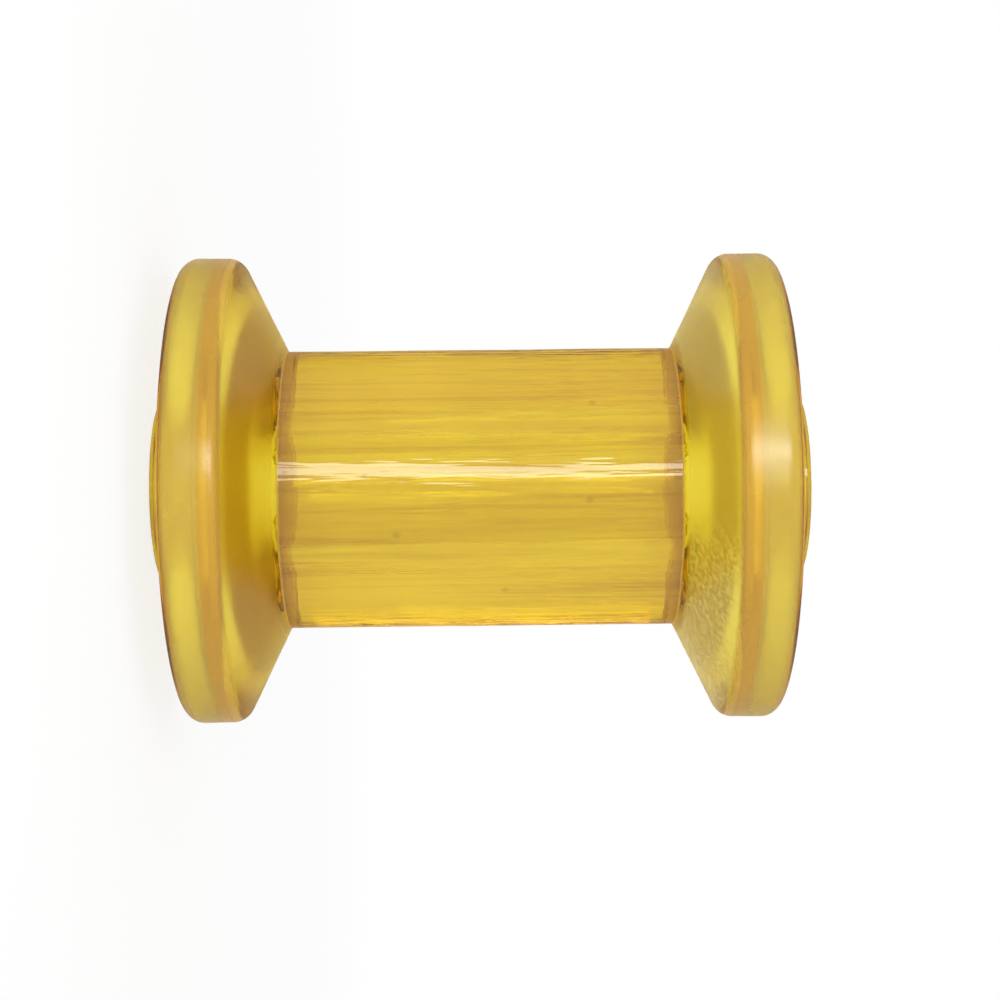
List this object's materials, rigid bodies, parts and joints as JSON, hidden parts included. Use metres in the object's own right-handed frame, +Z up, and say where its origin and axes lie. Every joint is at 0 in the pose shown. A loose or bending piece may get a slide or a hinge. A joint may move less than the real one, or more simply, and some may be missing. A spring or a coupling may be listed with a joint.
{
  "type": "boat trailer roller",
  "caption": "Spool-shaped keel roller of translucent amber plastic, with coned flanges and a through bore that turns on a trailer's axle shaft.",
  "frame": {"origin": "centre of the lower hub's end face, on the bore's axis", "axes": "+Z up along the bore's axis, the roller standing on one end; X and Y are radial and alike"},
  "size_m": [0.0738, 0.0738, 0.1016],
  "materials": {
    "amber_plastic": "gloss"
  },
  "bodies": {
    "root": {"spool_roller": "amber_plastic"}
  },
  "joints": []
}
